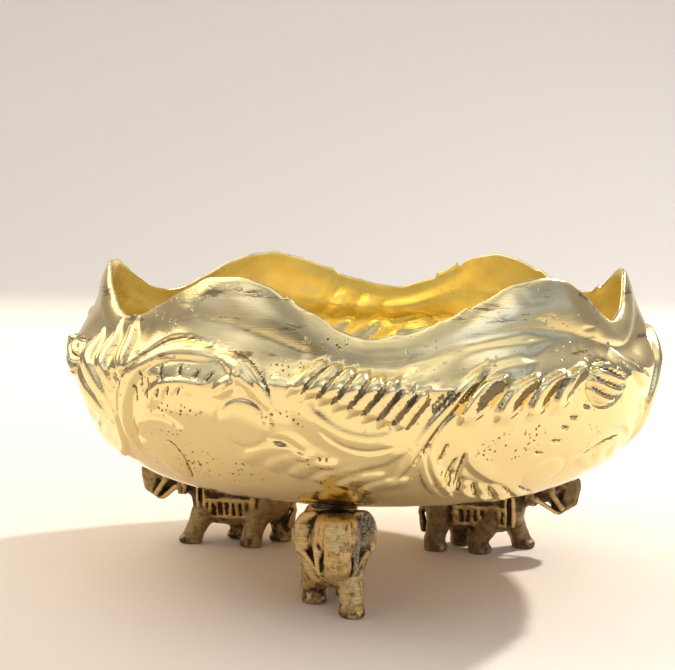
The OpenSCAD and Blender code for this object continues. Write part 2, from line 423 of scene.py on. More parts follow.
def hand_wobble(azimuth, w):
    """How far the hand-worked wall wanders from a true round, in millimetres."""
    a = np.radians(azimuth)
    round_off = 0.25 * np.cos(2 * a + 0.6) + 0.15 * np.cos(3 * a + 2)
    x, y = azimuth * DEG_MM, w * W_MM
    seam = smoothstep(np.minimum(azimuth, 360 - azimuth) / 12)
    dents = 0.14 * waves(x, y, 14, 16, 44, 11) + 0.03 * waves(x, y, 18, 5, 11, 12)
    return (round_off + dents * seam) * smoothstep(w / 20)


def push_out(r, z, a, w, relief, dents):
    """Moves the wall along its own normal by its relief, the hand's wobble and its dents."""
    below_rim = 1 - smoothstep((w - 122) / 16)
    stands_out = (relief * below_rim - SETBACK) * smoothstep(w / 12)
    amount = stands_out + hand_wobble(a, w) + dents
    dr, dz = np.gradient(r, axis=0), np.gradient(z, axis=0)
    size = np.hypot(dr, dz) + 1e-9
    return r + amount * dz / size, z - amount * dr / size


def neck_dents(azimuth, w):
    """Short level dents on the lobes, in millimetres, and the darkening along their scratches."""
    r = Relief(azimuth, w)
    rng = np.random.default_rng(7)
    for lobe, low in ((-5, 128), (54, 128), (117, 126), (181, 128), (244, 128), (308, 128)):
        for _ in range(5):
            a, at = lobe + rng.uniform(-13, 11), low + rng.uniform(0, 26)
            long, lean = rng.uniform(2, 7), rng.uniform(-1.5, 1.5)
            width, depth = rng.uniform(0.6, 1.3), rng.uniform(0.05, 0.13)
            r.stroke([(a, at), (a + long, at + lean)], width, -depth, "soft", turns=(0,))
            r.stroke([(a + 2, at + 3), (a + 2 + long, at + 3 + lean)], 0.45, -0.04, "vee", turns=(0,))
    return r.h, r.dirt_and_shade


def ring_faces(start_a, count_a, start_b, count_b):
    """Faces between two rings; the first ring may have twice the columns of the second."""
    ratio = count_a // count_b
    faces = []
    for k in range(count_b):
        low = [start_a + (k * ratio + j) % count_a for j in range(ratio + 1)]
        faces.append(tuple(low + [start_b + (k + 1) % count_b, start_b + k]))
    return faces


def grid_faces(start, rows, columns):
    """Faces of a closed grid: rows of columns points, joined round and upwards."""
    return [face for low in range(start, start + (rows - 1) * columns, columns)
            for face in ring_faces(low, columns, low + columns, columns)]


def to_points(r, z, azimuth):
    a = np.radians(azimuth)
    return np.stack([r * np.cos(a), r * np.sin(a), z], -1).reshape(-1, 3)


def outer_wall():
    """The embossed outside, its pitted ground, and its painted shade with the dark scratch lines."""
    low = np.linspace(0, 0.2, 11)[:-1]
    main = np.linspace(0.2, 1, 90)
    neck = np.linspace(0, 1, 48)[1:]
    r, z, a, w = wall_grid(COLUMNS, np.concatenate([low, main]), neck, 0.0)
    relief, stipple, dirt_and_shade = embossing(a, w)
    dents, scratches = neck_dents(a, w)
    r, z = push_out(r, z, a, w, relief, dents)
    r[-1] -= RIM_ROUND
    return r, z, a, stipple, np.maximum(dirt_and_shade, 0.62 * scratches)


def inner_wall():
    """The inside, which shows the relief at half its height, from the rim down."""
    r, z, a, w = wall_grid(INNER_COLUMNS, np.linspace(0, 1, 56)[:-1], np.linspace(0, 1, 26), WALL)
    soft = embossing(a, w)[0]
    for _ in range(2):
        soft = (np.roll(soft, 1, 1) + 2 * soft + np.roll(soft, -1, 1)) / 4
    r, z = push_out(r, z, a, w, 0.5 * soft, 0)
    r[-1] += RIM_ROUND
    return r[::-1], z[::-1], a[::-1]


def disc(radii, z):
    """Points of a nearly flat disc, ring by ring towards the middle."""
    azimuth = np.zeros((len(radii), 1)) + np.arange(DISC_COLUMNS) * 360.0 / DISC_COLUMNS
    r, a = np.array(radii, float)[:, None] + 0 * azimuth, np.radians(azimuth)
    return r, z + 0.06 * waves(r * np.cos(a), r * np.sin(a), 10, 14, 40, 21), azimuth


def scorched(points):
    """Where the soldering torch has left its mark on the underside, from 0 to 1."""
    mark = np.zeros(len(points))
    x, y, z = points.T
    for azimuth, _, radius in PLACES.values():
        a = math.radians(azimuth)
        away = np.hypot(x - radius * math.cos(a), y - radius * math.sin(a))
        mark = np.maximum(mark, smoothstep(2.3 - away / 7))
    return mark * smoothstep((30.5 - z) / 2)


def shell_faces(starts, outer_rows, inner_rows):
    """Faces of the closed shell, from where each of its blocks of points starts."""
    crest, inside, floor, under, end = starts[1:]
    faces = grid_faces(0, outer_rows, COLUMNS)
    faces += ring_faces(crest - COLUMNS, COLUMNS, crest, COLUMNS)
    faces += ring_faces(crest, COLUMNS, inside, INNER_COLUMNS)
    faces += grid_faces(inside, inner_rows, INNER_COLUMNS)
    faces += ring_faces(floor - INNER_COLUMNS, INNER_COLUMNS, floor, DISC_COLUMNS)
    faces += grid_faces(floor, len(FLOOR_RINGS), DISC_COLUMNS)
    faces.append(tuple(range(under - DISC_COLUMNS, under)))
    underside = ring_faces(0, COLUMNS, under, DISC_COLUMNS)
    underside += grid_faces(under, len(UNDER_RINGS), DISC_COLUMNS)
    underside.append(tuple(range(end - DISC_COLUMNS, end)))
    return faces + [face[::-1] for face in underside]


def build_bowl():
    """One closed shell: outside wall, rounded rim, inside wall, inside floor, underside."""
    r0, z0, a0, stipple, dirt_and_shade = outer_wall()
    r1, z1, a1 = inner_wall()
    crest_r = (r0[-1] + np.interp(a0[-1], a1[0], r1[0], period=360)) / 2
    under_r, under_z, under_a = disc(UNDER_RINGS, BASE_Z)
    under_z[0] = BASE_Z
    blocks = [to_points(r0, z0, a0), to_points(crest_r, z0[-1] + CREST, a0[-1]), to_points(r1, z1, a1),
              to_points(*disc(FLOOR_RINGS, BASE_Z + WALL)), to_points(under_r, under_z, under_a)]
    starts = np.cumsum([0, *map(len, blocks)]).tolist()
    verts = np.vstack(blocks)
    inside = np.zeros(len(verts))
    inside[starts[2]:starts[4]] = 1
    turned = inside.copy()
    turned[starts[4]:] = 1
    marks = {"inside": inside, "turned": turned, "scorch": scorched(verts) * (inside == 0)}
    satin = smoothstep((z0 - SHOULDER_Z + 2) / 8)
    # The second mark is painted shade: dark grooves, dark ground beside ridges and dark scratch lines.
    for key, values in (("punched", stipple), ("relief_shade", dirt_and_shade), ("satin", satin)):
        marks[key] = np.zeros(len(verts))
        marks[key][:starts[1]] = values.reshape(-1)
    return make_mesh("bowl_embossed", verts, shell_faces(starts, len(r0), len(r1)), marks)


# ---- the cast elephants
# Modelled as a smooth solid field, in millimetres. An elephant faces +X, left side at +Y.

STEP = 0.42            # spacing of the grid that the field is sampled on


def union(a, b, k):
    """Two shapes as one, blended over a width k where they meet."""
    h = np.clip(0.5 + 0.5 * (b - a) / k, 0, 1)
    return b + (a - b) * h - k * h * (1 - h)


def capsule(p, a, b, ra, rb):
    """A round-ended limb from a to b, with a radius at each end."""
    a, b = np.array(a, float), np.array(b, float)
    ab = b - a
    t = np.clip(sum((p[i] - a[i]) * ab[i] for i in range(3)) / (ab @ ab), 0, 1)
    d = np.sqrt(sum((p[i] - a[i] - t * ab[i]) ** 2 for i in range(3)))
    return d - (ra + (rb - ra) * t)


def ellipsoid(p, centre, radii):
    q = np.sqrt(sum(((p[i] - centre[i]) / radii[i]) ** 2 for i in range(3)))
    return (q - 1) * min(radii)


def block(p, low, high, soft):
    """A box with rounded edges."""
    q = [np.abs(p[i] - (low[i] + high[i]) / 2) - (high[i] - low[i]) / 2 + soft for i in range(3)]
    outside = np.sqrt(sum(np.maximum(v, 0) ** 2 for v in q))
    return outside + np.minimum(np.maximum.reduce(q), 0) - soft


def torso_field(p):
    d = capsule(p, (-9, 0, 17.6), (7, 0, 17.8), 7.9, 7.5)
    d = union(d, capsule(p, (-8.6, 0, 13.6), (7.6, 0, 13.4), 6.9, 6.6), 2)
    d = union(d, ellipsoid(p, (-10.4, 0, 16.6), (6.8, 7.4, 8.6)), 2)
    d = union(d, capsule(p, (-3, 0, 9.9), (6, 0, 10.3), 5.2, 5), 2)
    return union(d, ellipsoid(p, (8, 0, 16.2), (5.6, 7.4, 7.4)), 2)


def legs_field(p):
    """Four legs with toes, each drawn from x at its hip, ankle and toes, and its side."""
    d = np.full(p[0].shape, 99.0)
    for hip, ankle, toe, side in ((8.4, 12.4, 14.8, 1), (4.6, 0.4, 2.2, -1),
                                  (-7.6, -5.6, -4, 1), (-10.4, -12.6, -11, -1)):
        y = 4.6 * side
        leg = capsule(p, (hip, 3.6 * side, 12.4), (ankle, y, 3.6), 4.5, 2.9)
        leg = union(leg, capsule(p, (ankle, y, 3.6), (toe - 1.6, y, 1), 2.8, 3.1), 1)
        leg = union(leg, ellipsoid(p, (toe, y, 1), (2.4, 3.1, 1.7)), 1)
        d = np.minimum(d, leg)
    return d


def blanket_field(p, torso):
    """The cloth over the back: a raised panel with a border, a fringe and three straps."""
    x, _, z = p
    d = np.maximum(torso - 0.5, np.maximum(np.abs(x - 1) - 7.2, 9 - z))
    # each strip, seen from the side: middle, half size, and how proud it stands
    strips = [(1, 8.8, 7.4, 0.6, 1.15), (1, 14.2, 7.4, 0.7, 1.1)]
    strips += [(2.05 * i - 5.6, 11.5, 0.55, 2.6, 1.1) for i in range(7)]
    strips += [(middle, 15, 0.6, 7, 1.2) for middle in (-6.6, 8.4, 10.6)]
    for middle, up, half_x, half_z, proud in strips:
        strip = np.maximum(np.abs(x - middle) - half_x, np.abs(z - up) - half_z)
        d = np.minimum(d, np.maximum(torso - proud, strip))
    return d


def trunk_field(p):
    """The trunk: a flat bevelled bar that curls back under the chin."""
    x, y, z = p
    line = [((24.8, 0, 25.2), 3.1), ((27.4, 0, 20.8), 3), ((26.8, 0, 16.8), 2.8), ((23.8, 0, 14.2), 2.2)]
    flat = np.minimum.reduce([capsule((x, 0 * y, z), a, b, ra, rb)
                              for (a, ra), (b, rb) in zip(line[:-1], line[1:])])
    bevel = (flat + np.abs(y) - 2.2) * 0.72
    return np.maximum.reduce([flat, np.abs(y) - 3.3, bevel])


def ear_field(p, side):
    """A rounded fan that stands out from the head, with a rolled edge and soft ribs."""
    x, y, z = p
    out = side * y
    fan = np.hypot((out - 6.2) / 4.5, (z - 21.6) / 6.4)
    plate = np.abs(x - 16.2 + 0.22 * (out - 5)) - 1.15 - 0.22 * np.sin(1.6 * z + 0.5 * out)
    roll = 0.25 * np.exp(-((fan - 0.86) / 0.14) ** 2) + 0.5 * np.clip(1 - fan, 0, 1)
    return np.maximum((fan - 1) * 4.5, plate - roll) * 0.85


def head_field(p):
    """The head with its brow, tusks, cheeks, eye hollows, ears and trunk."""
    d = capsule(p, (9, 0, 19), (19.4, 0, 21.4), 6.6, 6.2)
    d = union(d, ellipsoid(p, (22.4, 0, 22.8), (4.6, 4.9, 4.8)), 1.5)
    for side in (-1, 1):
        d = union(d, ellipsoid(p, (20.4, 2.5 * side, 25.4), (3.8, 2.8, 2.8)), 1.2)
        d = union(d, capsule(p, (20, 4.8 * side, 21), (24.8, 4.2 * side, 14.4), 1.3, 0.8), 0.5)
        d = union(d, capsule(p, (17.6, 7.8 * side, 17.4), (23, 3.4 * side, 13), 0.9, 0.7), 0.4)
        d = np.maximum(d, -ellipsoid(p, (24.2, 4.9 * side, 19.6), (1.5, 0.9, 2.4)))
        d = union(d, ear_field(p, side), 0.4)
    return union(d, trunk_field(p), 0.3)


def elephant_field(p):
    """The whole casting: below 0 inside it, and cut flat at the soles, saddle and head."""
    torso = torso_field(p)
    d = union(torso, legs_field(p), 1.6)
    d = union(d, head_field(p), 1.2)
    d = union(d, blanket_field(p, torso), 0.15)
    d = union(d, block(p, (-8.4, -6, 20), (9.4, 6, SADDLE_Z), 0.5), 0.3)
    d = union(d, capsule(p, (-16, 0, 20), (-17, -0.8, 10.5), 1.1, 1), 0.7)
    d = union(d, capsule(p, (-17, -0.8, 10.5), (-16, -1, 5.6), 0.9, 1.3), 0.4)
    x, y, z = p
    d = d + 0.1 * waves(x + 0.6 * z, y - 0.4 * z, 16, 3, 9, 31)
    d = d + 0.05 * waves(z + 0.3 * y, x, 14, 1.6, 4, 32)
    top = np.where(x > 12, HEAD_Z + 0.06 * np.clip(x - 16, 0, 12), SADDLE_Z)
    return np.maximum(np.maximum(d, z - top), -z)


def fill_pinches(field):
    """Fills the few grid places where the surface would touch itself along an edge."""
    field = field.copy()
    for u, v in ((0, 1), (1, 2), (0, 2)) * 6:
        f = np.moveaxis(field, (u, v), (0, 1))
        a, b, c, d = f[:-1, :-1], f[1:, :-1], f[1:, 1:], f[:-1, 1:]
        pinch = ((a < 0) == (c < 0)) & ((b < 0) == (d < 0)) & ((a < 0) != (b < 0))
        for corner in (a, b):
            corner[pinch & (corner >= 0)] = -0.02
    return field


def surface_net(field, low):
    """Points and quads of the zero surface of a field on a regular grid."""
    cells = tuple(n - 1 for n in field.shape)
    total, count = np.zeros(cells + (3,)), np.zeros(cells)
    grid = np.stack(np.meshgrid(*[np.arange(n) for n in field.shape], indexing="ij"), -1)
    quads = []
    for axis in range(3):
        last = field.shape[axis] - 1
        a, b = field.take(range(last), axis), field.take(range(1, last + 1), axis)
        cross = (a < 0) != (b < 0)
        i, j, k = np.nonzero(cross)
        t = a[cross] / (a[cross] - b[cross])
        point = grid[i, j, k].astype(float)
        point[:, axis] += t
        u, v = (axis + 1) % 3, (axis + 2) % 3
        base = np.stack([i, j, k], -1)
        corners = []
        for du, dv in ((0, 0), (-1, 0), (-1, -1), (0, -1)):
            cell = base.copy()
            cell[:, u] += du
            cell[:, v] += dv
            corners.append(cell)
            np.add.at(total, tuple(cell.T), point)
            np.add.at(count, tuple(cell.T), 1)
        quad = np.stack([np.ravel_multi_index(tuple(c.T), cells) for c in corners], -1)
        rising = a[cross] < 0
        quads.append(np.where(rising[:, None], quad, quad[:, ::-1]))
    used = count.reshape(-1) > 0
    index = np.cumsum(used) - 1
    points = total.reshape(-1, 3)[used] / count.reshape(-1)[used][:, None]
    return points * STEP + np.array(low), index[np.vstack(quads)]


def sample(field, low, points):
    """The field's value at free points, by trilinear interpolation."""
    q = np.clip((points - np.array(low)) / STEP, 0, np.array(field.shape) - 1.001)
    i = q.astype(int)
    f = q - i
    value = 0
    for corner in np.ndindex(2, 2, 2):
        weight = np.abs(1 - np.array(corner) - f).prod(1)
        value = value + weight * field[tuple((i + corner).T)]
    return value


def elephant_casting():
    """The casting that all feet share: points, faces, and how hollow or worn each point is."""
    low, high = (-19.5, -12.5, -1.0), (33.5, 12.5, 30.0)
    axes = [np.arange(a, b, STEP) for a, b in zip(low, high)]
    field = fill_pinches(elephant_field(np.meshgrid(*axes, indexing="ij")))
    points, quads = surface_net(field, low)

    def at(offset):
        return sample(field, low, points + offset)

    slope = np.stack([at(d) - at(-d) for d in np.eye(3) * 0.4], -1)
    normal = slope / (np.linalg.norm(slope, axis=1)[:, None] + 1e-9)
    far, deep = at(normal * 1.6) / 1.6, -at(normal * -1.2) / 1.2
    hollow = np.clip((0.95 - far) * 1.6, 0, 1)
    edge = np.clip((0.86 - deep) * 2.2, 0, 1)
    points[:, 2] = np.maximum(points[:, 2], 0)
    return points, quads.tolist(), hollow, edge


def at_place(points, name):
    """Turns an elephant's own points to its heading and moves them to its place."""
    azimuth, heading, radius = PLACES[name]
    turn, place = math.radians(heading), math.radians(azimuth)
    x, y, z = points.T
    return np.stack([x * math.cos(turn) - y * math.sin(turn) + radius * math.cos(place),
                     x * math.sin(turn) + y * math.cos(turn) + radius * math.sin(place), z], -1)


def splash_of_solder(points):
    """Where spilt solder stuck to the left ear and cheek, from 0 to 1."""
    x, y, z = points.T
    ear = np.exp(-((y - 8) / 2.6) ** 2 - ((z - 25) / 4.5) ** 2)
    cheek = np.exp(-((y - 5.4) / 1.6) ** 2 - ((z - 18) / 5) ** 2)
    return np.clip(1.3 * ear + 0.9 * cheek, 0, 1) * (x > 10)


def build_elephant(name, casting, splashed, shade_depth):
    points, quads, hollow, edge = casting
    splash = splash_of_solder(points) if splashed else np.zeros(len(points))
    x, y, z = points.T
    heat = smoothstep((z - 23.5) / 4)
    # Painted shade over a whole elephant, less on its rubbed edges.
    shaded = np.clip(shade_depth * (1.1 - 0.9 * edge), 0, 1)
    marks = {"hollow": hollow, "edge": edge, "splash": splash, "heat": heat, "shaded": shaded,
             "own_x": x, "own_y": y, "own_z": z}
    return make_mesh(name + "_elephant", at_place(points, name), quads, marks)


# ---- solder

def build_solder(name):
    """A lumpy run of solder, squeezed out round the saddle between it and the underside."""
    columns, rows = 120, 9
    seed = PLACES[name][0]
    a = np.arange(columns) * 2 * math.pi / columns
    lump = 0.35 * waves(a * 8, 0 * a, 8, 5, 14, seed) * np.sin(a / 2) ** 0.5
    reach_x = 8.7 + 1.3 * lump
    reach_y = 5.9 + 1.2 * lump
    # a rounded oblong, whose skirt creeps down the saddle and up to the underside
    shape = (np.abs(np.cos(a)) ** 4 + np.abs(np.sin(a)) ** 4) ** -0.25
    verts = []
    for t in np.linspace(0, 1, rows):
        swell = 0.35 + 0.5 * math.sin(math.pi * t)
        z = SOLDER_LOW_Z + (BASE_Z - SOLDER_LOW_Z) * t - 0.25 * np.clip(lump, -1, 1) * (1 - t)
        verts.append(np.stack([(reach_x + swell) * shape * np.cos(a) + 0.5,
                               (reach_y + swell) * shape * np.sin(a), z], -1))
    faces = grid_faces(0, rows, columns)
    faces += [tuple(range(columns))[::-1], tuple(range((rows - 1) * columns, rows * columns))]
    return make_mesh(name + "_solder", at_place(np.vstack(verts), name), faces, {})


# ---- materials
# Base colours, as linear red, green and blue.
DULL_GOLD, BRIGHT_GOLD = (0.86, 0.69, 0.32), (0.9, 0.76, 0.39)
CLEAN_LINING, STAINED_LINING = (0.95, 0.81, 0.37), (0.86, 0.67, 0.27)
SCORCHED_BRASS = (0.24, 0.13, 0.075)
# Painted dark reflections, as brown streaks on the neck.
REFLECTION_STREAK_BROWN = (0.24, 0.15, 0.08)
# Painted shade in the relief's grooves and beside its ridges.
RELIEF_SHADE_BROWN = (0.115, 0.085, 0.05)
PIT_BROWN = (0.16, 0.1, 0.045)
WORN_BRASS, RUBBED_BRASS = (0.6, 0.41, 0.16), (0.8, 0.59, 0.25)
OLD_BLACK, OLD_BROWN = (0.035, 0.022, 0.014), (0.12, 0.07, 0.035)
# Painted shade for the elephants that stand in shade.
PAINTED_SHADE_BROWN = (0.1, 0.068, 0.042)
BURNT_BROWN = (0.05, 0.022, 0.013)
SPATTER_DARK, SPATTER_GREY = (0.07, 0.055, 0.045), (0.5, 0.48, 0.45)
SOLDER_GREY, FLUX_BROWN = (0.46, 0.44, 0.41), (0.07, 0.045, 0.035)
FLOOR_CREAM, FLOOR_PALE = (0.86, 0.75, 0.62), (0.89, 0.79, 0.67)
BACKDROP_GREY = (0.51, 0.48, 0.44)


class Graph:
    """A node tree, with a short call for each kind of node that is used."""

    def __init__(self, tree):
        self.nodes, self.links = tree.nodes, tree.links

    def put(self, value, socket):
        """Sets an input, or links it to another node's output."""
        if isinstance(value, bpy.types.NodeSocket):
            self.links.new(value, socket)
        else:
            socket.default_value = value

    def add(self, kind, sockets=(), **settings):
        """The outputs of a new node; sockets says what goes into its inputs."""
        node = self.nodes.new("ShaderNode" + kind)
        for key, value in settings.items():
            setattr(node, key, value)
        for key, value in dict(sockets).items():
            self.put(value, node.inputs[key])
        return node.outputs

    def mark(self, name):
        return self.add("Attribute", attribute_name=name)["Fac"]

    def place(self):
        return self.add("TexCoord")["Object"]

    def stretch(self, vector, scale):
        return self.add("Mapping", {"Scale": scale, "Vector": vector})["Vector"]

    def noise(self, vector, scale, detail=4.0, rough=0.55):
        sockets = {"Scale": scale, "Detail": detail, "Roughness": rough, "Vector": vector}
        return self.add("TexNoise", sockets)["Fac"]

    def between(self, value, low, high, to_low=0.0, to_high=1.0):
        """Maps low to high of a value onto to_low to to_high, clamped and smooth."""
        sockets = {"Value": value, "From Min": low, "From Max": high, "To Min": to_low, "To Max": to_high}
        return self.add("MapRange", sockets, interpolation_type="SMOOTHSTEP")["Result"]

    def maths(self, operation, a, b):
        return self.add("Math", {0: a, 1: b}, operation=operation)[0]

    def plus(self, a, b):
        return self.maths("ADD", a, b)

    def times(self, a, b):
        return self.maths("MULTIPLY", a, b)

    def blend(self, factor, a, b):
        """Colour a where the factor is 0 and colour b where it is 1."""
        a, b = (c + (1.0,) if isinstance(c, tuple) else c for c in (a, b))
        return self.add("Mix", {0: factor, 6: a, 7: b}, data_type="RGBA")[2]

    def bump(self, height, strength, distance, under=None):
        """The normal with a relief on it, over an earlier bump's normal if there is one."""
        sockets = {"Strength": strength, "Distance": distance, "Height": height}
        if under is not None:
            sockets["Normal"] = under
        return self.add("Bump", sockets)["Normal"]

    def pits(self, vector, scale, size, share):
        """Small round pits: 1 in a pit and 0 elsewhere; share is how many cells have one."""
        cell = self.add("TexVoronoi", {"Scale": scale, "Vector": vector}, feature="F1")
        lot = self.add("SeparateColor", {0: cell["Color"]})[0]
        spot = self.between(cell["Distance"], size, size * 0.45)
        return self.times(spot, self.maths("LESS_THAN", lot, share))


def new_material(name, metallic, draw):
    """A new material, whose colour, roughness and normal the function draw gives."""
    material = bpy.data.materials.new(name)
    material.use_nodes = True
    g = Graph(material.node_tree)
    shader = g.nodes["Principled BSDF"]
    shader.inputs["Metallic"].default_value = metallic
    for key, value in zip(("Base Color", "Roughness", "Normal"), draw(g)):
        g.put(value, shader.inputs[key])
    return material


def casting_pits(g, where):
    """Ragged pits: a few where the casting was porous, and many where it was punched."""
    punched = g.mark("punched")
    porous = g.between(g.noise(where, 30, 2), 0.5, 0.66, 0, 0.35)
    jitter = g.add("TexNoise", {"Scale": 900, "Vector": where})["Color"]
    sockets = {0: jitter, 1: (0.0011, 0.0011, 0.0011), 2: where}
    ragged = g.add("VectorMath", sockets, operation="MULTIPLY_ADD")[0]
    share = g.maths("MAXIMUM", porous, g.times(punched, 0.9))
    deep = g.times(g.pits(ragged, 480, 0.26, 0.5), share)
    fine = g.times(g.pits(ragged, 800, 0.34, 0.6), punched)
    return g.maths("MAXIMUM", deep, fine)


def lathe_rings(g, where):
    """Fine rings round the bowl's axis."""
    distance = g.add("VectorMath", {0: g.stretch(where, (1, 1, 0))}, operation="LENGTH")["Value"]
    return g.noise(g.add("CombineXYZ", {0: distance})[0], 900, 4, 0.7)


def bowl_colour(g, where, stains, relief_shade, holes):
    """Gold outside and stained inside, with scorch marks, painted dark reflection streaks, painted shade
    in the relief and dark pits.
    """
    colour = g.blend(g.noise(where, 22, 5), DULL_GOLD, BRIGHT_GOLD)
    lining = g.blend(g.between(stains, 0.45, 0.7), CLEAN_LINING, STAINED_LINING)
    colour = g.blend(g.mark("inside"), colour, lining)
    smoke = g.plus(g.mark("scorch"), g.between(stains, 0.3, 0.7, -0.5, 0.2))
    colour = g.blend(g.between(smoke, 0.1, 0.9, 0, 0.85), colour, SCORCHED_BRASS)
    # Painted dark reflections: brown streaks on the neck.
    reflection_streaks = g.noise(g.stretch(where, (38, 38, 190)), 1.0, 6, 0.7)
    reflection_streaks = g.times(g.between(reflection_streaks, 0.58, 0.64, 0, 0.85), g.mark("satin"))
    colour = g.blend(reflection_streaks, colour, REFLECTION_STREAK_BROWN)
    # Painted shade in the grooves and beside the ridges, and dark scratch lines.
    colour = g.blend(relief_shade, colour, RELIEF_SHADE_BROWN)
    return g.blend(holes, colour, PIT_BROWN)


def bowl_roughness(g, where, stains, relief_shade, holes):
    """Mirror bright in patches, and duller on the neck, inside and where it is marked."""
    patches = g.between(g.noise(where, 45, 6, 0.65), 0.52, 0.7)
    rough = g.between(patches, 0, 1, 0.055, 0.15)
    lining = g.between(stains, 0.35, 0.68, 0.2, 0.34)
    for mark, extra in ((g.mark("satin"), 0.16), (g.mark("inside"), lining), (holes, 0.3),
                        (g.mark("scorch"), 0.25), (relief_shade, 0.12)):
        rough = g.plus(rough, g.times(mark, extra))
    return rough


def bowl_normal(g, where, holes):
    """Fine level scratches, grain, lathe rings and the pits."""
    scratches = g.noise(g.stretch(where, (60, 60, 900)), 3.0, 3, 0.6)
    normal = g.bump(scratches, 0.06, 0.0006)
    normal = g.bump(g.noise(where, 1500, 2), 0.04, 0.0002, normal)
    normal = g.bump(g.times(lathe_rings(g, where), g.mark("turned")), 0.12, 0.0004, normal)
    return g.bump(g.times(holes, -1.0), 0.6, 0.0005, normal)


def polished_brass(g):
    """The bowl: mirror brass with satin patches, scratches, pits, painted shade in the relief, painted
    dark reflection streaks on the neck, and heat stains.
    """
    where = g.place()
    stains = g.noise(where, 34, 7, 0.68)
    # Painted shade of the relief, its edge broken up by fine noise.
    torn = g.between(g.noise(where, 1300, 2, 0.5), 0.35, 0.65, -0.15, 0.15)
    relief_shade = g.between(g.plus(g.mark("relief_shade"), torn), 0.5, 0.68, 0, 0.9)
    holes = casting_pits(g, where)
    marks = (g, where, stains, relief_shade, holes)
    return bowl_colour(*marks), bowl_roughness(*marks), bowl_normal(g, where, holes)


def patina(g, mottle, speckle):
    """How dirty the casting is: most in hollows, least on rubbed edges."""
    dirt_and_shade = g.times(g.mark("hollow"), 1.15)
    dirt_and_shade = g.plus(dirt_and_shade, g.between(mottle, 0.36, 0.68, -0.1, 0.45))
    dirt_and_shade = g.plus(dirt_and_shade, g.between(speckle, 0.5, 0.75, 0, 0.2))
    dirt_and_shade = g.plus(dirt_and_shade, g.times(g.mark("edge"), -0.5))
    return g.between(dirt_and_shade, 0, 0.85)


def elephant_colour(g, dirt_and_shade, mottle, speckle, files, lumps, splash):
    """Rubbed gold and old brown, darkened by painted shade, burnt at the saddle and spattered with solder.
    """
    rubbed = g.blend(g.between(files, 0.3, 0.7), WORN_BRASS, RUBBED_BRASS)
    colour = g.blend(dirt_and_shade, rubbed, g.blend(speckle, OLD_BLACK, OLD_BROWN))
    # Painted shade, darkest on the side elephants.
    colour = g.blend(g.times(g.mark("shaded"), 0.75), colour, PAINTED_SHADE_BROWN)
    burnt = g.times(g.mark("heat"), g.between(mottle, 0.3, 0.6, 0.5, 1))
    colour = g.blend(burnt, colour, BURNT_BROWN)
    spatter = g.blend(g.between(lumps, 0.42, 0.58), SPATTER_DARK, SPATTER_GREY)
    return g.blend(g.times(splash, g.between(speckle, 0.34, 0.52)), colour, spatter)


def antique_brass(g):
    """Cast brass: dark in the hollows, rubbed golden on the raised parts, filed in bands."""
    own = [g.mark(key) for key in ("own_x", "own_y", "own_z")]
    where = g.add("CombineXYZ", enumerate(own))[0]
    splash = g.mark("splash")
    mottle = g.noise(where, 0.55, 6, 0.65)
    speckle = g.noise(where, 2.6, 4, 0.7)
    lumps = g.noise(where, 1.5, 5, 0.75)
    files = g.noise(g.stretch(where, (0.25, 0.12, 2.0)), 2.0, 3, 0.6)
    filed = g.between(own[0], 13, 19, 0.03, 0.14)
    dirt_and_shade = patina(g, mottle, speckle)
    rough = g.plus(g.between(dirt_and_shade, 0, 1, 0.32, 0.58), g.between(speckle, 0.3, 0.7, -0.06, 0.1))
    normal = g.bump(g.times(files, filed), 1.0, 0.0004)
    normal = g.bump(speckle, 0.4, 0.0005, normal)
    normal = g.bump(g.times(lumps, splash), 0.7, 0.0012, normal)
    return elephant_colour(g, dirt_and_shade, mottle, speckle, files, lumps, splash), rough, normal


def grey_solder(g):
    """Dull grey solder with burnt flux on it."""
    where = g.place()
    grain = g.noise(where, 1400, 4, 0.6)
    burnt = g.between(g.noise(where, 260, 5, 0.6), 0.4, 0.62)
    return (g.blend(burnt, SOLDER_GREY, FLUX_BROWN), g.between(grain, 0.3, 0.7, 0.35, 0.6),
            g.bump(grain, 0.5, 0.0004))


def pale_floor(g):
    """A pale matt floor that turns to a greyer backdrop behind the object."""
    where = g.place()
    floor = g.blend(g.noise(where, 40, 6, 0.6), FLOOR_CREAM, FLOOR_PALE)
    behind = g.between(g.add("SeparateXYZ", {0: where})["Y"], 0.55, 0.95)
    return g.blend(behind, floor, BACKDROP_GREY), 0.75, g.bump(g.noise(where, 900, 3), 0.1, 0.0005)


# ---- stage, light and camera
# The stage is in millimetres, and the lamps and the camera are in metres.

FLOOR_REACH = 7000             # how far the floor runs to the front and to the sides
SWEEP_Y, SWEEP_R = 900, 500    # where the floor starts to sweep up, and the radius of the sweep
BACKDROP_Z = 2200              # the backdrop's top
FLOOR_Z = -0.1                 # just under the soles
# The room's light by height, 0 at the horizon and 1 overhead.
ROOM_STOPS = (
    (0.0, (0.17, 0.15, 0.13)), (0.05, (0.12, 0.11, 0.1)), (0.11, (0.16, 0.15, 0.15)),
    (0.22, (0.27, 0.26, 0.31)), (0.6, (0.38, 0.39, 0.46)), (0.85, (0.5, 0.5, 0.54)),
    (1.0, (0.95, 0.93, 0.92)),
)
